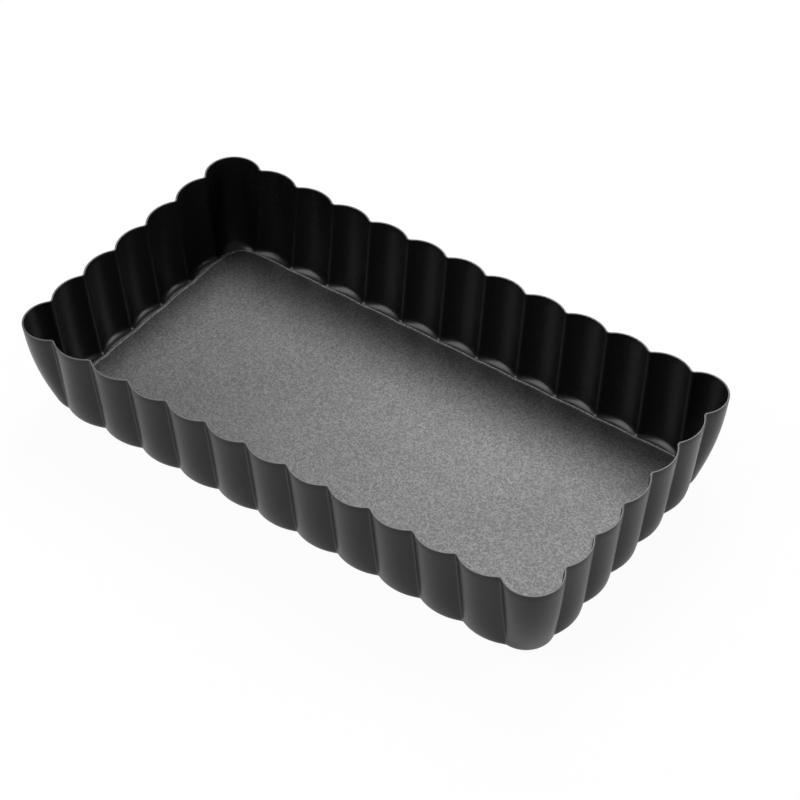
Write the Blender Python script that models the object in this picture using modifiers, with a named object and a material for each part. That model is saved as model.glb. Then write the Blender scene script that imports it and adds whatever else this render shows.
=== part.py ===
"""Rectangular fluted tart pan with a loose base.

One sheet of steel makes the ring: a leaning wall pressed into flutes, a round ear at each corner, and a
foot that turns in to a flat ledge. A second sheet makes the base, which rests on the ledge with its small
lip turned up, and lifts straight out. Its sides are almost straight, so the flutes show behind them.

Units are metres and +Z is up. The origin is on the table under the middle of the pan, +X runs along its
length. Outlines are measured on the outer face of the ring, at the inward cusps between the flutes.
"""

import math

import bmesh
import bpy
from mathutils import Vector

# Ring: overall sizes
HEIGHT = 0.0350
RIM_HALF_LENGTH = 0.1000
RIM_HALF_WIDTH = 0.0536
LEAN_LENGTH = 0.0033
LEAN_WIDTH = 0.0038
SHEET = 0.0006

# Ring: flutes and ears. A depth is how far an arc bulges out from the chord between its two cusps.
LONG_FLUTES = 11
SHORT_FLUTES = 5
FLUTE_DEPTH_RIM = 0.0029
FLUTE_DEPTH_FOOT = 0.0013
EAR_DEPTH_RIM = 0.0096
EAR_DEPTH_FOOT = 0.0032
CUSP_RADIUS = 0.0008
# An ear takes the place of each corner, cut this far along the length and along the width.
EAR_CUT_RIM = (0.0133, 0.0142)
EAR_CUT_FOOT = (0.0096, 0.0114)
# The wall keeps its rim shape most of the way down. A higher power tucks it in later and more sharply.
FLUTE_TUCK = 8.0
EAR_TUCK = 2.35

# Ring: the foot, and the window that the ledge leaves open
FOOT_RADIUS = 0.0030
LEDGE_WIDTH = 0.0055
WINDOW_CORNER = 0.0080

# Base: a sheet that sits this far clear of the ring, with its lip turned up around the foot's centre. Its
# edge bulges only this far into each flute.
BASE_SHEET = 0.0006
BASE_WAVE = 0.0004
SEAT_GAP = 0.00035
LIP_ANGLE = math.radians(45)

# Mesh fineness
WALL_LEVELS = (1.0, 0.62, 0.32, 0.13)
FOOT_STEPS = 4
LIP_STEPS = 2
FLUTE_STEPS = 4
EAR_STEPS = 12
CUSP_STEPS = 2
SHARP_ANGLE = math.radians(35)


def blend(rim_value, foot_value, share):
    """Value between the rim's and the foot's, at a share of 0 at the rim and 1 at the foot."""
    return rim_value + (foot_value - rim_value) * share


def spaced(half_span, count):
    """Ends of a row of equal flutes, from -half_span to +half_span."""
    return [half_span * (2 * i / count - 1) for i in range(count + 1)]


def cusp_rows(height):
    """Cusps of the four sides at a height, anticlockwise from the +X side."""
    drop = 1 - height / HEIGHT
    half_x = RIM_HALF_LENGTH - LEAN_LENGTH * drop
    half_y = RIM_HALF_WIDTH - LEAN_WIDTH * drop
    cut_x = blend(EAR_CUT_RIM[0], EAR_CUT_FOOT[0], drop)
    cut_y = blend(EAR_CUT_RIM[1], EAR_CUT_FOOT[1], drop)
    along = spaced(half_x - cut_x, LONG_FLUTES)
    across = spaced(half_y - cut_y, SHORT_FLUTES)
    return [
        [Vector((half_x, y)) for y in across],
        [Vector((x, half_y)) for x in reversed(along)],
        [Vector((-half_x, y)) for y in reversed(across)],
        [Vector((x, -half_y)) for x in along],
    ]


def bulge(start, end, depth, steps):
    """Arc from one cusp to the next as its centre, radius and number of steps."""
    chord = end - start
    half = chord.length / 2
    outward = Vector((chord.y, -chord.x)).normalized()
    radius = (half * half + depth * depth) / (2 * depth)
    return (start + end) / 2 + outward * (depth - radius), radius, steps


def flute_depth_at(height):
    """How far the wall's flutes bulge out at a height."""
    return blend(FLUTE_DEPTH_RIM, FLUTE_DEPTH_FOOT, (1 - height / HEIGHT) ** FLUTE_TUCK)


def lobes(height, flute_depth):
    """Flutes and ears of the outer face at a height, anticlockwise, as arcs that meet in sharp cusps."""
    drop = 1 - height / HEIGHT
    ear_depth = blend(EAR_DEPTH_RIM, EAR_DEPTH_FOOT, drop ** EAR_TUCK)
    rows = cusp_rows(height)
    arcs = []
    for row, following in zip(rows, rows[1:] + rows[:1]):
        for start, end in zip(row, row[1:]):
            arcs.append(bulge(start, end, flute_depth, FLUTE_STEPS))
        arcs.append(bulge(row[-1], following[0], ear_depth, EAR_STEPS))
    return arcs


def cusp_centre(first, second):
    """Centre of the rounding that touches two neighbouring arcs from outside the pan."""
    reach_first = first[1] + CUSP_RADIUS
    reach_second = second[1] + CUSP_RADIUS
    line = second[0] - first[0]
    gap = line.length
    along = (gap * gap + reach_first ** 2 - reach_second ** 2) / (2 * gap)
    across = math.sqrt(reach_first ** 2 - along ** 2)
    outward = Vector((line.y, -line.x)) / gap
    return first[0] + line * (along / gap) + outward * across


def heading(start, end):
    """Direction from one point to another, as an angle."""
    return math.atan2(end.y - start.y, end.x - start.x)


def arc(centre, radius, start_angle, sweep, steps):
    """Points along an arc, without its last one."""
    angles = [start_angle + sweep * i / steps for i in range(steps)]
    return [(centre.x + radius * math.cos(a), centre.y + radius * math.sin(a)) for a in angles]


def outline(height, inset, flute_depth):
    """Closed outline at a height, moved inward by an inset, with flutes of a given depth."""
    arcs = lobes(height, flute_depth)
    cusps = [cusp_centre(first, second) for first, second in zip(arcs, arcs[1:] + arcs[:1])]
    points = []
    for i, (centre, radius, steps) in enumerate(arcs):
        start_angle = heading(centre, cusps[i - 1])
        sweep = (heading(centre, cusps[i]) - start_angle) % math.tau
        points += arc(centre, radius - inset, start_angle, sweep, steps)
        next_centre = arcs[(i + 1) % len(arcs)][0]
        start_angle = heading(cusps[i], centre)
        sweep = -((start_angle - heading(cusps[i], next_centre)) % math.tau)
        points += arc(cusps[i], CUSP_RADIUS + inset, start_angle, sweep, CUSP_STEPS)
    return points


def wall_outline(height, inset=0.0):
    """Closed outline of the ring's outer face at a height, moved inward by an inset."""
    return outline(height, inset, flute_depth_at(height))


def window(points):
    """Rounded rectangle of the open window, with one point for each point of the foot's outline."""
    core_x = RIM_HALF_LENGTH - LEAN_LENGTH - FOOT_RADIUS - LEDGE_WIDTH - WINDOW_CORNER
    core_y = RIM_HALF_WIDTH - LEAN_WIDTH - FOOT_RADIUS - LEDGE_WIDTH - WINDOW_CORNER
    result = []
    for x, y in points:
        core = Vector((max(-core_x, min(core_x, x)), max(-core_y, min(core_y, y))))
        spot = core + (Vector((x, y)) - core).normalized() * WINDOW_CORNER
        result.append((spot.x, spot.y))
    return result


def at_height(points, height):
    """Points of a flat outline, placed at a height."""
    return [(x, y, height) for x, y in points]


def turn_angles(steps, end_angle):
    """Angles of an arc that starts at 0, in even steps."""
    return [end_angle * i / steps for i in range(steps + 1)]


def ring_loops():
    """Outer face of the ring as loops from the rim, down the wall, around the foot and in to the window."""
    loops = [at_height(wall_outline(HEIGHT * level), HEIGHT * level) for level in WALL_LEVELS]
    for angle in turn_angles(FOOT_STEPS, math.pi / 2):
        height = FOOT_RADIUS * (1 - math.sin(angle))
        inset = FOOT_RADIUS * (1 - math.cos(angle))
        loops.append(at_height(wall_outline(height, inset), height))
    loops.append(at_height(window(wall_outline(0.0, FOOT_RADIUS)), 0.0))
    return loops


def base_loops():
    """Underside of the base as loops from the lip's edge to the flat, above the seat."""
    radius = FOOT_RADIUS - SHEET - SEAT_GAP
    loops = []
    for angle in reversed(turn_angles(LIP_STEPS, LIP_ANGLE)):
        inset = FOOT_RADIUS - radius * math.sin(angle)
        loops.append(at_height(outline(0.0, inset, BASE_WAVE), radius * (1 - math.cos(angle))))
    return loops


def loft(name, loops, floor=False):
    """Mesh of strips between neighbouring loops, closed at the last loop by a flat floor if asked."""
    mesh = bmesh.new()
    rows = [[mesh.verts.new(point) for point in loop] for loop in loops]
    for upper, lower in zip(rows, rows[1:]):
        for i, corner in enumerate(upper):
            mesh.faces.new((lower[i - 1], lower[i], corner, upper[i - 1]))
    if floor:
        mesh.faces.new(reversed(rows[-1]))
    data = bpy.data.meshes.new(name)
    mesh.to_mesh(data)
    mesh.free()
    return data


def add_sheet(name, mesh, thickness, material, collection):
    """Object made of an outer face, thickened inward to a sheet."""
    sheet = bpy.data.objects.new(name, mesh)
    collection.objects.link(sheet)
    mesh.materials.append(material)
    mesh.shade_smooth()
    mesh.set_sharp_from_angle(angle=SHARP_ANGLE)
    solidify = sheet.modifiers.new("thickness", "SOLIDIFY")
    solidify.thickness = thickness
    solidify.offset = -1.0
    solidify.use_even_offset = True
    return sheet


def coating(name, colour, roughness):
    """Dark non-stick coating on steel."""
    material = bpy.data.materials.new(name)
    material.use_nodes = True
    shader = material.node_tree.nodes["Principled BSDF"]
    shader.inputs["Base Color"].default_value = (*colour, 1.0)
    shader.inputs["Roughness"].default_value = roughness
    shader.inputs["Metallic"].default_value = 0.0
    return material


def clear_scene():
    """Remove every object that is already there."""
    for item in list(bpy.data.objects):
        bpy.data.objects.remove(item, do_unlink=True)


def main():
    """Build the ring and the base."""
    clear_scene()
    pan = bpy.data.collections.new("tart_pan")
    bpy.context.scene.collection.children.link(pan)

    wall_coating = coating("wall_coating", (0.035, 0.035, 0.036), 0.38)
    base_coating = coating("base_coating", (0.10, 0.10, 0.10), 0.55)

    ring_mesh = loft("fluted_ring", ring_loops())
    add_sheet("fluted_ring", ring_mesh, SHEET, wall_coating, pan)

    base_mesh = loft("loose_base", base_loops(), floor=True)
    base = add_sheet("loose_base", base_mesh, BASE_SHEET, base_coating, pan)
    base.location.z = SHEET + SEAT_GAP


main()
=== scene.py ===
"""Looks of a rectangular fluted tart pan with a loose base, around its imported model.

The ring and the base are modelled again here as fine sheets, with rounded cut edges and a non-stick
coating. Sizes are in metres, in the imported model's own frame: +X along the pan, +Z up, the table at 0.
"""

import logging
import math
from dataclasses import dataclass, field
from enum import Enum

import bmesh
import bpy
from mathutils import Matrix, Vector


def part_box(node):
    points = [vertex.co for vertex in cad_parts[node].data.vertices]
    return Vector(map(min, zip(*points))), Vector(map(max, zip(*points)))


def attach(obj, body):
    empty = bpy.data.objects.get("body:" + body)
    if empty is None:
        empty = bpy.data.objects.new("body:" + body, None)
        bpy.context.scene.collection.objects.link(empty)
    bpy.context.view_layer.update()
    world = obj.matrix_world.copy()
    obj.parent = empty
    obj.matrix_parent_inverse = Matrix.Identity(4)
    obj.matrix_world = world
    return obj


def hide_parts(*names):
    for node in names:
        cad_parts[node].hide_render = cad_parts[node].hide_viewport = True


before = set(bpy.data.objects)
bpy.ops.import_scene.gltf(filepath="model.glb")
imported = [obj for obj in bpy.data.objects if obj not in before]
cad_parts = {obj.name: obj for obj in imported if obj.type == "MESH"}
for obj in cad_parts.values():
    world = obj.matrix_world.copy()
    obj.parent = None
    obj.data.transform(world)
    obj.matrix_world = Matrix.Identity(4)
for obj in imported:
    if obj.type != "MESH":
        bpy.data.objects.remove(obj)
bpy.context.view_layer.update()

log = logging.getLogger("tart_pan")

PLACE_LAYER = "place"
Point = tuple[float, float]


class Body(Enum):
    """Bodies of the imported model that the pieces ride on."""

    RING = "ring"
    BASE = "base"


class Node(Enum):
    """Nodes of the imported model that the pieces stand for."""

    RING = "fluted_ring"
    BASE = "loose_base"


class Slot(Enum):
    """Material slots of the record."""

    WALL = "wall_coating"
    BASE = "base_coating"


# ---------------------------------------------------------------- materials


class Value:
    """A number that varies over a surface: a node's output socket that takes part in sums."""

    def __init__(self, graph: "Graph", socket: bpy.types.NodeSocket) -> None:
        """Keep the socket and the graph that it belongs to."""
        self.graph = graph
        self.socket = socket

    def _math(self, operation: str, first: "Value | float", second: "Value | float") -> "Value":
        """Add a Math node.

        Args:
            operation: The Math node's operation.
            first: Its first number.
            second: Its second number.

        Returns:
            The node's result.
        """
        return self.graph.node("ShaderNodeMath", {"operation": operation}, {0: first, 1: second})

    def __add__(self, other: "Value | float") -> "Value":
        """Sum."""
        return self._math("ADD", self, other)

    def __radd__(self, other: float) -> "Value":
        """Sum, from the right."""
        return self._math("ADD", other, self)

    def __sub__(self, other: "Value | float") -> "Value":
        """Difference."""
        return self._math("SUBTRACT", self, other)

    def __rsub__(self, other: float) -> "Value":
        """Difference, from the right."""
        return self._math("SUBTRACT", other, self)

    def __mul__(self, other: "Value | float") -> "Value":
        """Product."""
        return self._math("MULTIPLY", self, other)

    def __rmul__(self, other: float) -> "Value":
        """Product, from the right."""
        return self._math("MULTIPLY", other, self)

    def at_least(self, other: "Value | float") -> "Value":
        """The larger of two numbers."""
        return self._math("MAXIMUM", self, other)


@dataclass
class Graph:
    """The nodes of one material or of the world.

    Attributes:
        tree: The node tree that the nodes go into.
    """

    tree: bpy.types.NodeTree

    def node(self, kind: str, settings: dict | None = None, inputs: dict | None = None,
             output: int | str = 0) -> Value:
        """Add a node.

        Args:
            kind: The node's type.
            settings: Its properties, set before its sockets.
            inputs: Numbers, colours or links for its sockets, by name or index.
            output: The output socket to return.

        Returns:
            The chosen output.
        """
        made = self.tree.nodes.new(kind)
        for name, value in (settings or {}).items():
            setattr(made, name, value)
        for name, value in (inputs or {}).items():
            if isinstance(value, Value):
                self.tree.links.new(value.socket, made.inputs[name])
            else:
                made.inputs[name].default_value = value
        return Value(self, made.outputs[output])

    def place(self, stretch: tuple[float, float, float] = (1.0, 1.0, 1.0)) -> Value:
        """Position on the piece.

        Args:
            stretch: Factors along X, Y and Z.

        Returns:
            Object coordinates, stretched.
        """
        spot = self.node("ShaderNodeTexCoord", output="Object")
        return self.node("ShaderNodeMapping", inputs={"Vector": spot, "Scale": stretch})

    def noise(self, spot: Value, scale: float, detail: float = 2.0, roughness: float = 0.5) -> Value:
        """Noise from 0 to 1.

        Args:
            spot: Where it is read.
            scale: Lumps to the metre.
            detail: Octaves.
            roughness: Strength of the finer octaves.

        Returns:
            The noise's height.
        """
        inputs = {"Vector": spot, "Scale": scale, "Detail": detail, "Roughness": roughness}
        return self.node("ShaderNodeTexNoise", inputs=inputs)

    def ramp(self, value: Value, low: float, high: float) -> Value:
        """Smooth step.

        Args:
            value: What is read.
            low: Where the result is 0.
            high: Where the result is 1.

        Returns:
            A number from 0 to 1.
        """
        settings = {"interpolation_type": "SMOOTHSTEP"}
        return self.node("ShaderNodeMapRange", settings,
                         {"Value": value, "From Min": low, "From Max": high})

    def surface(self, shader: Value) -> None:
        """Link a shader to a new Material Output node."""
        made = self.tree.nodes.new("ShaderNodeOutputMaterial")
        self.tree.links.new(shader.socket, made.inputs["Surface"])

    def mix_colour(self, share: Value, first: tuple, second: tuple) -> Value:
        """Blend two colours.

        Args:
            share: 0 for the first colour and 1 for the second.
            first: A colour.
            second: A colour.

        Returns:
            The blended colour.
        """
        inputs = {0: share, 6: (*first, 1.0), 7: (*second, 1.0)}
        return self.node("ShaderNodeMix", {"data_type": "RGBA"}, inputs, output=2)


@dataclass(frozen=True)
class NonStickCoating:
    """Dark non-stick coating baked onto steel sheet.

    Attributes:
        name: The material's name.
        tone: Colour of the coating.
        speck_tone: Colour of the paler specks in it.
        roughness: Middle of its roughness.
        roughness_swing: How far the roughness varies.
        grain: Size of the orange peel's lumps.
        grain_depth: Height of the orange peel.
        draw_depth: Height of the faint upright marks that pressing leaves.
        worn_and_highlit_above: Height above which the coating is painted pale, partly as rubbed bare steel
            and partly as a painted highlight on the rim, or none.
        worn_and_highlight_tone: Colour of that pale band, partly rubbed steel and partly a painted
            highlight.
        worn_and_highlight_fade: Height over which the pale band sets in.
        worn_and_highlight_least: Share of the pale band where the clouds are darkest.
        specular: Strength of its sheen.
        flecks: How metallic its paler specks are.
    """

    name: str
    tone: tuple[float, float, float]
    speck_tone: tuple[float, float, float]
    roughness: float
    roughness_swing: float
    grain: float
    grain_depth: float
    draw_depth: float
    worn_and_highlit_above: float | None = None
    worn_and_highlight_tone: tuple[float, float, float] = (0.20, 0.20, 0.20)
    worn_and_highlight_fade: float = 0.0004
    worn_and_highlight_least: float = 0.45
    specular: float = 0.5
    flecks: float = 0.0

    def make(self) -> bpy.types.Material:
        """Build the material.

        Returns:
            The finished material.
        """
        material = bpy.data.materials.new(self.name)
        material.use_nodes = True
        graph = Graph(material.node_tree)
        shader = material.node_tree.nodes["Principled BSDF"]
        shader.inputs["Specular IOR Level"].default_value = self.specular

        spot = graph.place()
        lumps = graph.noise(spot, 1.0 / self.grain, detail=3.0, roughness=0.6)
        specks = graph.ramp(graph.noise(spot, 1.0 / self.grain, detail=1.0, roughness=0.6), 0.32, 0.72)
        clouds = graph.noise(spot, 26.0, detail=3.0)
        draws = graph.noise(graph.place((420.0, 420.0, 16.0)), 1.0, detail=2.0)

        colour = graph.mix_colour(specks, self.tone, self.speck_tone)
        links = material.node_tree.links
        if self.worn_and_highlit_above is not None:
            # Pale band at the top of the rim: partly rubbed bare steel, partly a painted highlight that
            # stands in for light catching the rim.
            height = graph.node("ShaderNodeSeparateXYZ", inputs={0: spot}, output="Z")
            edge = graph.ramp(height, self.worn_and_highlit_above, self.worn_and_highlit_above + self.worn_and_highlight_fade)
            wear_and_painted_highlight = edge * (self.worn_and_highlight_least + (1.0 - self.worn_and_highlight_least) * clouds)
            colour = graph.node("ShaderNodeMix", {"data_type": "RGBA"},
                                {0: wear_and_painted_highlight, 6: colour, 7: (*self.worn_and_highlight_tone, 1.0)}, output=2)
        links.new(colour.socket, shader.inputs["Base Color"])
        if self.flecks:
            links.new((specks * self.flecks).socket, shader.inputs["Metallic"])

        patchy = (clouds - 0.5) * self.roughness_swing
        grainy = (lumps - 0.5) * self.roughness_swing
        links.new((self.roughness + patchy + grainy).socket, shader.inputs["Roughness"])

        relief = lumps * self.grain_depth + draws * self.draw_depth
        bump = graph.node("ShaderNodeBump", inputs={"Height": relief, "Distance": 1.0, "Strength": 1.0})
        links.new(bump.socket, shader.inputs["Normal"])
        return material


# ---------------------------------------------------------------- outlines


@dataclass(frozen=True)
class Bulge:
    """One arc of an outline.

    Attributes:
        centre: Its centre.
        radius: Its radius.
        steps: How many edges it gets.
    """

    centre: Vector
    radius: float
    steps: int


@dataclass
class FlutedOutline:
    """The ring's outer face seen from above, at any height.

    Attributes:
        height: Height of the rim.
        half_length: Half the rim's length, to the inward cusps between the flutes.
        half_width: Half the rim's width, to the same cusps.
        lean_length: How far each end leans in from rim to foot.
        lean_width: How far each side leans in from rim to foot.
        long_flutes: Flutes on a long side.
        short_flutes: Flutes on a short side.
        flute_depth: How far a flute bulges at the rim and at the foot.
        ear_depth: How far an ear bulges at the rim and at the foot.
        cusp_radius: Rounding between two flutes.
        ear_cut_rim: What an ear takes off the length and the width at the rim.
        ear_cut_foot: The same at the foot.
        flute_tuck: How late and sharply the flutes tuck in above the foot.
        ear_tuck: The same for the ears.
        flute_steps: Edges along a flute.
        ear_steps: Edges along an ear.
        cusp_steps: Edges along a cusp.
    """

    height: float
    half_length: float = 0.1000
    half_width: float = 0.0536
    lean_length: float = 0.0033
    lean_width: float = 0.0038
    long_flutes: int = 11
    short_flutes: int = 5
    flute_depth: tuple[float, float] = (0.0029, 0.0013)
    ear_depth: tuple[float, float] = (0.0096, 0.0032)
    cusp_radius: float = 0.0010
    ear_cut_rim: tuple[float, float] = (0.0133, 0.0142)
    ear_cut_foot: tuple[float, float] = (0.0096, 0.0114)
    flute_tuck: float = 8.0
    ear_tuck: float = 2.35
    flute_steps: int = 14
    ear_steps: int = 48
    cusp_steps: int = 8

    def cusp_rows(self, height: float) -> list[list[Vector]]:
        """Cusps of the four sides.

        Args:
            height: Where they are read.

        Returns:
            A row for each side, anticlockwise from the +X side.
        """
        drop = 1 - height / self.height
        half_x = self.half_length - self.lean_length * drop
        half_y = self.half_width - self.lean_width * drop
        cut_x, cut_y = (rim + (foot - rim) * drop for rim, foot in zip(self.ear_cut_rim, self.ear_cut_foot))
        along = [(half_x - cut_x) * (2 * i / self.long_flutes - 1) for i in range(self.long_flutes + 1)]
        across = [(half_y - cut_y) * (2 * i / self.short_flutes - 1) for i in range(self.short_flutes + 1)]
        return [
            [Vector((half_x, y)) for y in across],
            [Vector((x, half_y)) for x in reversed(along)],
            [Vector((-half_x, y)) for y in reversed(across)],
            [Vector((x, -half_y)) for x in along],
        ]

    @staticmethod
    def bulge(start: Vector, end: Vector, depth: float, steps: int) -> Bulge:
        """Arc between two cusps.

        Args:
            start: The first cusp.
            end: The next one, anticlockwise.
            depth: How far the arc stands out from the line between them.
            steps: How many edges it gets.

        Returns:
            The arc.
        """
        chord = end - start
        half = chord.length / 2
        outward = Vector((chord.y, -chord.x)).normalized()
        radius = (half * half + depth * depth) / (2 * depth)
        return Bulge((start + end) / 2 + outward * (depth - radius), radius, steps)

    def flute_depth_at(self, height: float) -> float:
        """How far the wall's flutes bulge out at a height."""
        share = (1 - height / self.height) ** self.flute_tuck
        return self.flute_depth[0] + (self.flute_depth[1] - self.flute_depth[0]) * share

    def bulges(self, height: float, flute: float) -> list[Bulge]:
        """Flutes and ears.

        Args:
            height: Where they are read.
            flute: How far the flutes bulge out.

        Returns:
            Their arcs, anticlockwise, which meet in sharp cusps.
        """
        drop = 1 - height / self.height
        ear = self.ear_depth[0] + (self.ear_depth[1] - self.ear_depth[0]) * drop ** self.ear_tuck
        rows = self.cusp_rows(height)
        arcs = []
        for row, following in zip(rows, rows[1:] + rows[:1]):
            arcs += [self.bulge(start, end, flute, self.flute_steps) for start, end in zip(row, row[1:])]
            arcs.append(self.bulge(row[-1], following[0], ear, self.ear_steps))
        return arcs

    def cusp_centre(self, first: Bulge, second: Bulge) -> Vector:
        """Rounding between two arcs.

        Args:
            first: An arc.
            second: The next one, anticlockwise.

        Returns:
            The centre of the rounding that touches both from outside the pan.
        """
        reach_first = first.radius + self.cusp_radius
        reach_second = second.radius + self.cusp_radius
        line = second.centre - first.centre
        gap = line.length
        along = (gap * gap + reach_first ** 2 - reach_second ** 2) / (2 * gap)
        across = math.sqrt(reach_first ** 2 - along ** 2)
        return first.centre + line * (along / gap) + Vector((line.y, -line.x)) * (across / gap)

    @staticmethod
    def arc(centre: Vector, radius: float, start: float, sweep: float, steps: int) -> list[Point]:
        """Points along an arc.

        Args:
            centre: Its centre.
            radius: Its radius.
            start: The angle that it starts at.
            sweep: The angle that it covers, anticlockwise.
            steps: How many edges it has.

        Returns:
            Its points without the last one.
        """
        angles = [start + sweep * i / steps for i in range(steps)]
        return [(centre.x + radius * math.cos(a), centre.y + radius * math.sin(a)) for a in angles]

    @staticmethod
    def heading(start: Vector, end: Vector) -> float:
        """Angle of the direction from one point to another."""
        return math.atan2(end.y - start.y, end.x - start.x)

    def points(self, height: float, inset: float = 0.0, flute: float | None = None) -> list[Point]:
        """Closed outline.

        Args:
            height: Where it is read.
            inset: How far it is moved inward.
            flute: How far the flutes bulge out, or none for the wall's own depth there.

        Returns:
            Its points, anticlockwise, always as many.
        """
        arcs = self.bulges(height, self.flute_depth_at(height) if flute is None else flute)
        cusps = [self.cusp_centre(one, two) for one, two in zip(arcs, arcs[1:] + arcs[:1])]
        result = []
        for i, bulge in enumerate(arcs):
            start = self.heading(bulge.centre, cusps[i - 1])
            sweep = (self.heading(bulge.centre, cusps[i]) - start) % math.tau
            result += self.arc(bulge.centre, bulge.radius - inset, start, sweep, bulge.steps)
            following = arcs[(i + 1) % len(arcs)]
            start = self.heading(cusps[i], bulge.centre)
            sweep = -((start - self.heading(cusps[i], following.centre)) % math.tau)
            result += self.arc(cusps[i], self.cusp_radius + inset, start, sweep, self.cusp_steps)
        return result


# ---------------------------------------------------------------- sheet work


@dataclass
class SheetWork:
    """A sheet pulled out of one closed loop of edges, row by row, in edit mode.

    Attributes:
        name: Name of the finished piece.
        item: The object that is being made.
    """

    name: str
    item: bpy.types.Object = field(init=False)

    def begin(self, loop: list[Vector], filled: bool = False) -> None:
        """Start with a circle whose corners are put on the first loop.

        Args:
            loop: The loop's points, anticlockwise.
            filled: Whether the circle is a face and not an open edge.
        """
        bpy.ops.object.select_all(action="DESELECT")
        fill = "NGON" if filled else "NOTHING"
        bpy.ops.mesh.primitive_circle_add(vertices=len(loop), radius=loop[0].length, fill_type=fill)
        self.item = bpy.context.object
        self.item.name = self.name
        self.item.data.name = self.name
        bpy.ops.object.mode_set(mode="EDIT")
        bpy.ops.mesh.select_mode(type="VERT")
        mesh = bmesh.from_edit_mesh(self.item.data)
        places = mesh.verts.layers.int.new(PLACE_LAYER)
        mesh.verts.ensure_lookup_table()
        for i, corner in enumerate(mesh.verts):
            corner[places] = i
        self.seat(loop)

    def seat(self, loop: list[Vector]) -> None:
        """Put the selected corners on a loop.

        Args:
            loop: The loop's points, in the order of the first one.
        """
        mesh = bmesh.from_edit_mesh(self.item.data)
        places = mesh.verts.layers.int[PLACE_LAYER]
        for corner in mesh.verts:
            if corner.select:
                corner.co = loop[corner[places]]
        bmesh.update_edit_mesh(self.item.data)

    def select_edge_loop(self) -> None:
        """Select the loop of the filled circle as edges alone, so that it can be pulled out."""
        mesh = bmesh.from_edit_mesh(self.item.data)
        for face in mesh.faces:
            face.select_set(False)
        for edge in mesh.edges:
            edge.select_set(edge.is_boundary)
        bmesh.update_edit_mesh(self.item.data)

    def pull(self, loop: list[Vector]) -> None:
        """Extrude the selected loop and put the new one in place.

        Args:
            loop: The new loop's points.
        """
        bpy.ops.mesh.extrude_edges_move()
        self.seat(loop)

    def turn_out(self, probe: int) -> None:
        """Make the faces agree, with those of one side facing away from the middle or down.

        Args:
            probe: Number of the face that tells which way they face.
        """
        bpy.ops.mesh.select_all(action="SELECT")
        bpy.ops.mesh.normals_make_consistent(inside=False)
        mesh = bmesh.from_edit_mesh(self.item.data)
        mesh.faces.ensure_lookup_table()
        face = mesh.faces[probe]
        middle = face.calc_center_median()
        outward = Vector((middle.x, middle.y, 0.0)) - Vector((0.0, 0.0, 1.0))
        if face.normal.dot(outward) < 0:
            bpy.ops.mesh.flip_normals()
        bpy.ops.object.mode_set(mode="OBJECT")

    def thicken(self, thickness: float) -> None:
        """Give the sheet its thickness, inward from the face that was modelled.

        Args:
            thickness: The sheet's thickness.
        """
        solidify = self.item.modifiers.new("thickness", "SOLIDIFY")
        solidify.thickness = thickness
        solidify.offset = -1.0
        solidify.use_even_offset = True
        bpy.ops.object.modifier_apply(modifier=solidify.name)

    def round_cut_edges(self, width: float, segments: int, sharper_than: float) -> None:
        """Round the edges that the sheet was cut at.

        Args:
            width: Width of the rounding.
            segments: How many strips it gets.
            sharper_than: The least angle of an edge that is rounded.
        """
        bevel = self.item.modifiers.new("cut_edges", "BEVEL")
        bevel.width = width
        bevel.segments = segments
        bevel.limit_method = "ANGLE"
        bevel.angle_limit = sharper_than
        bpy.ops.object.modifier_apply(modifier=bevel.name)

    def smooth(self, sharper_than: float) -> None:
        """Shade smooth, apart from edges over an angle.

        Args:
            sharper_than: That angle.
        """
        bpy.ops.object.shade_smooth_by_angle(angle=sharper_than)

    def dress(self, material: bpy.types.Material) -> None:
        """Give the piece its one material.

        Args:
            material: The material.
        """
        self.item.data.materials.clear()
        self.item.data.materials.append(material)


def lift(points: list[Point], height: float) -> list[Vector]:
    """Place a flat outline at a height.

    Args:
        points: The outline.
        height: Its height.

    Returns:
        Its points in space.
    """
    return [Vector((x, y, height)) for x, y in points]


def hand_over(piece: bpy.types.Object, body: Body, node: Node) -> None:
    """Tell the frame what a finished piece rides on and stands for.

    Args:
        piece: The piece.
        body: The body that carries it.
        node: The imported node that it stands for.
    """
    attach(piece, body.value)
    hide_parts(node.value)
    log.info("%s: %d faces, rides on %s", piece.name, len(piece.data.polygons), body.value)


# ---------------------------------------------------------------- the pan


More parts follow.
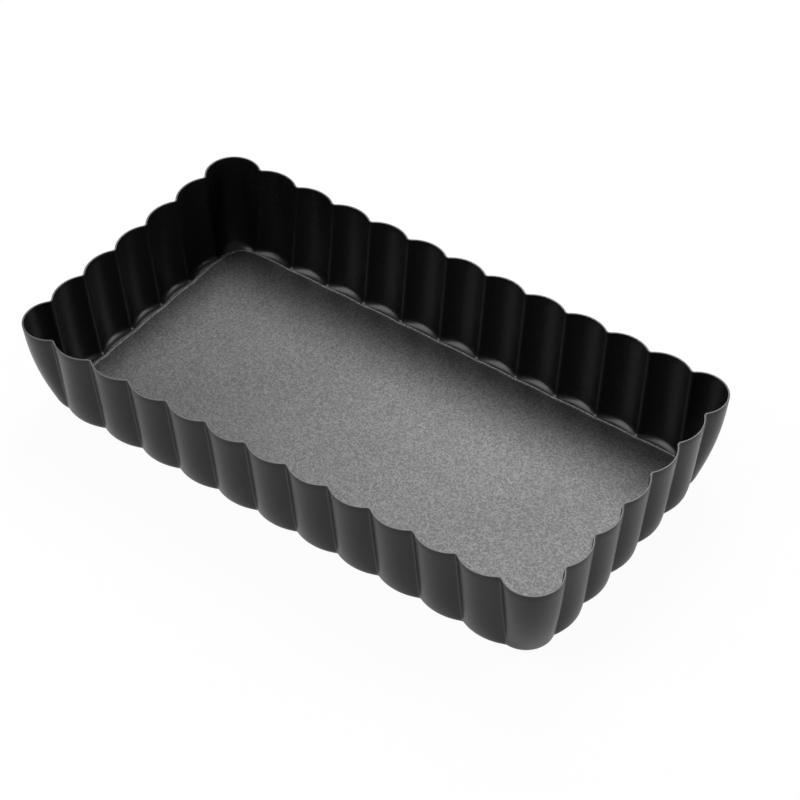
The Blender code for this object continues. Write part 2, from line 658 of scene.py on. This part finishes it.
@dataclass
class FlutedRing:
    """The wall of the pan and the ledge at its foot, pressed from one sheet.

    Attributes:
        outline: Its outer face in plan.
        sheet: Thickness of the sheet.
        foot_radius: Outer radius of the bend from the wall to the ledge.
        ledge_width: Width of the ledge at the cusps.
        window_corner: Radius of the corners of the open window.
        wall_rows: Rows of faces down the wall.
        foot_rows: Rows of faces around the foot.
        edge_round: Rounding of the cut edges.
        coating: The finish.
    """

    outline: FlutedOutline
    coating: NonStickCoating
    sheet: float = 0.0006
    foot_radius: float = 0.0030
    ledge_width: float = 0.0055
    window_corner: float = 0.0080
    wall_rows: int = 14
    foot_rows: int = 7
    edge_round: float = 0.00016

    def wall_heights(self) -> list[float]:
        """Heights of the rows from the rim to the top of the foot's bend, closer together lower down."""
        span = self.outline.height - self.foot_radius
        return [self.foot_radius + span * (1 - i / self.wall_rows) ** 1.3 for i in range(self.wall_rows)]

    def window(self, points: list[Point]) -> list[Point]:
        """Rounded rectangle of the window.

        Args:
            points: The foot's outline.

        Returns:
            One point of the window for each of them.
        """
        shape = self.outline
        inward = self.foot_radius + self.ledge_width + self.window_corner
        core_x = shape.half_length - shape.lean_length - inward
        core_y = shape.half_width - shape.lean_width - inward
        result = []
        for x, y in points:
            core = Vector((max(-core_x, min(core_x, x)), max(-core_y, min(core_y, y))))
            spot = core + (Vector((x, y)) - core).normalized() * self.window_corner
            result.append((spot.x, spot.y))
        return result

    def loops(self) -> list[list[Vector]]:
        """Outer face as loops, from the rim down the wall, around the foot and in to the window."""
        rows = [lift(self.outline.points(z), z) for z in self.wall_heights()]
        for i in range(self.foot_rows + 1):
            angle = math.pi / 2 * i / self.foot_rows
            z = self.foot_radius * (1 - math.sin(angle))
            inset = self.foot_radius * (1 - math.cos(angle))
            rows.append(lift(self.outline.points(z, inset), z))
        rows.append(lift(self.window(self.outline.points(0.0, self.foot_radius)), 0.0))
        return rows

    def build(self) -> bpy.types.Object:
        """Model and dress the ring.

        Returns:
            The finished piece.
        """
        work = SheetWork("ring_shell")
        first, *others = self.loops()
        work.begin(first)
        for loop in others:
            work.pull(loop)
        work.turn_out(probe=0)
        work.thicken(self.sheet)
        work.round_cut_edges(self.edge_round, segments=3, sharper_than=math.radians(60))
        work.smooth(sharper_than=math.radians(50))
        work.dress(self.coating.make())
        hand_over(work.item, Body.RING, Node.RING)
        return work.item


@dataclass
class LooseBase:
    """The plate that lies on the ring's ledge, with a lip that turns up around the foot's bend.

    Attributes:
        ring: The ring that it lies in.
        seat_height: Height of its underside.
        sheet: Thickness of the plate.
        seat_gap: Clearance to the ring.
        wave: How far the edge bulges into each flute.
        lip_angle: How far the lip turns up.
        lip_rows: Rows of faces around the lip.
        edge_round: Rounding of the cut edge.
        coating: The finish.
    """

    ring: FlutedRing
    coating: NonStickCoating
    seat_height: float
    sheet: float = 0.0006
    seat_gap: float = 0.00035
    wave: float = 0.0004
    lip_angle: float = math.radians(45)
    lip_rows: int = 6
    edge_round: float = 0.00016

    def loops(self) -> list[list[Vector]]:
        """Underside as loops, from the edge of the flat up to the edge of the lip."""
        radius = self.ring.foot_radius - self.ring.sheet - self.seat_gap
        rows = []
        for i in range(self.lip_rows + 1):
            angle = self.lip_angle * i / self.lip_rows
            inset = self.ring.foot_radius - radius * math.sin(angle)
            z = self.seat_height + radius * (1 - math.cos(angle))
            rows.append(lift(self.ring.outline.points(0.0, inset, self.wave), z))
        return rows

    def build(self) -> bpy.types.Object:
        """Model and dress the base.

        Returns:
            The finished piece.
        """
        work = SheetWork("base_plate")
        first, *others = self.loops()
        work.begin(first, filled=True)
        work.select_edge_loop()
        for loop in others:
            work.pull(loop)
        work.turn_out(probe=0)
        work.thicken(self.sheet)
        work.round_cut_edges(self.edge_round, segments=3, sharper_than=math.radians(60))
        work.smooth(sharper_than=math.radians(50))
        work.dress(self.coating.make())
        hand_over(work.item, Body.BASE, Node.BASE)
        return work.item


# ---------------------------------------------------------------- studio


@dataclass(frozen=True)
class Softbox:
    """A square or oblong lamp that faces the pan.

    Attributes:
        name: Its name.
        azimuth: Where it stands, in degrees from -Y towards +X.
        elevation: How high it stands, in degrees.
        distance: How far away it is.
        width: Its width.
        height: Its height.
        brightness: How bright its face is, with 1 for white.
    """

    name: str
    azimuth: float
    elevation: float
    distance: float
    width: float
    height: float
    brightness: float

    def make(self, target: Vector) -> None:
        """Put up the lamp.

        Args:
            target: What it points at.
        """
        lamp = bpy.data.lights.new(self.name, "AREA")
        lamp.shape = "RECTANGLE"
        lamp.size = self.width
        lamp.size_y = self.height
        lamp.energy = self.brightness * math.pi * self.width * self.height
        item = bpy.data.objects.new(self.name, lamp)
        bpy.context.scene.collection.objects.link(item)
        back = direction(self.azimuth, self.elevation)
        item.location = target + back * self.distance
        item.rotation_euler = back.to_track_quat("Z", "Y").to_euler()


def direction(azimuth: float, elevation: float) -> Vector:
    """Direction from the pan to something that stands around it.

    Args:
        azimuth: Degrees from -Y towards +X.
        elevation: Degrees above the table.

    Returns:
        A vector of length 1.
    """
    turn, rise = math.radians(azimuth), math.radians(elevation)
    return Vector((math.sin(turn) * math.cos(rise), -math.cos(turn) * math.cos(rise), math.sin(rise)))


@dataclass
class Studio:
    """Floor, world, lamps and camera.

    Attributes:
        target: Middle of the pan's rim.
        floor_size: Side of the floor.
        floor_gap: How far the floor lies under the pan, so that their faces don't coincide.
        floor_tone: Grey of the floor under the lamps.
        floor_glow: Share of plain white in the floor as the camera sees it.
        mirrored_floor_glow: The same share as reflections see it.
        world_light: Strength of the even light from all round.
        mirrored_world: How white the surroundings are in reflections, from that light at 0 to white at 1.
        softboxes: The lamps.
        azimuth: Where the camera stands, in degrees from -Y towards +X.
        elevation: How high it stands, in degrees.
        roll: How far it is turned about its axis, in degrees.
        distance: How far it is from the target.
        slide: How far it is moved to its right and up from there.
        lens: Focal length in millimetres, on a sensor of 36.
    """

    target: Vector
    floor_size: float = 6.0
    floor_gap: float = 0.0003
    floor_tone: float = 0.80
    floor_glow: float = 0.95
    mirrored_floor_glow: float = 0.45
    world_light: float = 0.25
    mirrored_world: float = 0.0
    softboxes: tuple[Softbox, ...] = (
        Softbox("back_softbox", 205.0, 51.5, 1.0, 0.48, 0.58, 7.6),
        Softbox("front_left_softbox", -38.0, 44.0, 1.1, 0.60, 0.85, 4.8),
        Softbox("right_softbox", 130.0, 26.0, 1.1, 0.50, 0.60, 5.5),
    )
    azimuth: float = 36.354
    elevation: float = 43.893
    roll: float = -0.426
    distance: float = 0.7783
    slide: tuple[float, float] = (0.00952, -0.01394)
    lens: float = 110.45

    def make_floor(self) -> None:
        """Lay the pale floor, which keeps the pan's shadow and is clear when seen from below."""
        bpy.ops.object.select_all(action="DESELECT")
        bpy.ops.mesh.primitive_plane_add(size=self.floor_size, location=(0.0, 0.0, -self.floor_gap))
        floor = bpy.context.object
        floor.name = "floor"
        material = bpy.data.materials.new("floor_white")
        material.use_nodes = True
        material.node_tree.nodes.clear()
        graph = Graph(material.node_tree)
        tone = self.floor_tone
        matte = graph.node("ShaderNodeBsdfDiffuse", inputs={"Color": (tone, tone, tone, 1.0)})
        glow = graph.node("ShaderNodeEmission", inputs={"Color": (1.0, 1.0, 1.0, 1.0), "Strength": 1.0})
        share = self.seen(graph, self.floor_glow, self.mirrored_floor_glow)
        pale = graph.node("ShaderNodeMixShader", inputs={0: share, 1: matte, 2: glow})
        clear = graph.node("ShaderNodeBsdfTransparent")
        below = graph.node("ShaderNodeNewGeometry", output="Backfacing")
        graph.surface(graph.node("ShaderNodeMixShader", inputs={0: below, 1: pale, 2: clear}))
        floor.data.materials.append(material)

    @staticmethod
    def seen(graph: Graph, direct: float, mirrored: float) -> Value:
        """Share of plain white in what the camera sees, which is 0 for the light on the pan.

        Args:
            graph: Where the nodes go.
            direct: The share where the camera sees it directly or through glass.
            mirrored: The share where the camera sees it in a reflection.

        Returns:
            The share for the ray at hand.
        """
        camera = graph.node("ShaderNodeLightPath", output="Is Camera Ray")
        glossy = graph.node("ShaderNodeLightPath", output="Is Glossy Ray")
        through = graph.node("ShaderNodeLightPath", output="Is Transmission Ray")
        return (camera.at_least(through) * direct).at_least(glossy * mirrored)

    def make_world(self) -> None:
        """Light the pan evenly from all round, in front of a white background."""
        world = bpy.data.worlds.new("studio")
        bpy.context.scene.world = world
        world.use_nodes = True
        graph = Graph(world.node_tree)
        background = world.node_tree.nodes["Background"]
        background.inputs["Color"].default_value = (1.0, 1.0, 1.0, 1.0)
        unlit = 1.0 - self.world_light
        strength = self.world_light + self.seen(graph, unlit, self.mirrored_world * unlit)
        world.node_tree.links.new(strength.socket, background.inputs["Strength"])

    def make_camera(self) -> None:
        """Set up the camera."""
        camera = bpy.data.cameras.new("camera")
        camera.lens = self.lens
        camera.sensor_width = 36.0
        item = bpy.data.objects.new("camera", camera)
        bpy.context.scene.collection.objects.link(item)
        back = direction(self.azimuth, self.elevation)
        side = Vector((0.0, 0.0, 1.0)).cross(back).normalized()
        rise = back.cross(side)
        turn = math.radians(self.roll)
        right = side * math.cos(turn) + rise * math.sin(turn)
        up = rise * math.cos(turn) - side * math.sin(turn)
        place = self.target + back * self.distance + right * self.slide[0] + up * self.slide[1]
        axes = Matrix((right, up, back)).transposed()
        item.matrix_world = Matrix.Translation(place) @ axes.to_4x4()
        bpy.context.scene.camera = item

    def make(self) -> None:
        """Set up everything around the pan."""
        self.make_floor()
        self.make_world()
        for softbox in self.softboxes:
            softbox.make(self.target)
        self.make_camera()
        bpy.context.scene.view_settings.view_transform = "Standard"
        log.info("studio: %d softboxes", len(self.softboxes))


# ---------------------------------------------------------------- all together


def main() -> None:
    """Build the pan and the studio around it."""
    logging.basicConfig(level=logging.INFO, format="%(name)s: %(message)s")
    rim_height = 0.0350
    seat_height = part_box(Node.BASE.value)[0].z

    wall_coating = NonStickCoating(
        name="wall_nonstick",
        tone=(0.003, 0.003, 0.0032),
        speck_tone=(0.006, 0.006, 0.0063),
        roughness=0.29,
        roughness_swing=0.06,
        grain=0.0008,
        grain_depth=0.000006,
        draw_depth=0.000010,
        # The top 0.2 mm of the rim is painted pale: rubbed steel plus a painted highlight.
        worn_and_highlit_above=rim_height - 0.0002,
        specular=0.34,
    )
    base_coating = NonStickCoating(
        name="base_nonstick",
        tone=(0.018, 0.018, 0.018),
        speck_tone=(0.108, 0.108, 0.108),
        roughness=0.38,
        roughness_swing=0.06,
        grain=0.00060,
        grain_depth=0.000050,
        draw_depth=0.0,
        flecks=0.90,
    )
    ring = FlutedRing(FlutedOutline(height=rim_height), wall_coating)
    ring.build()
    LooseBase(ring, base_coating, seat_height).build()
    Studio(target=Vector((0.0, 0.0, rim_height))).make()


if __name__ == "__main__":
    main()
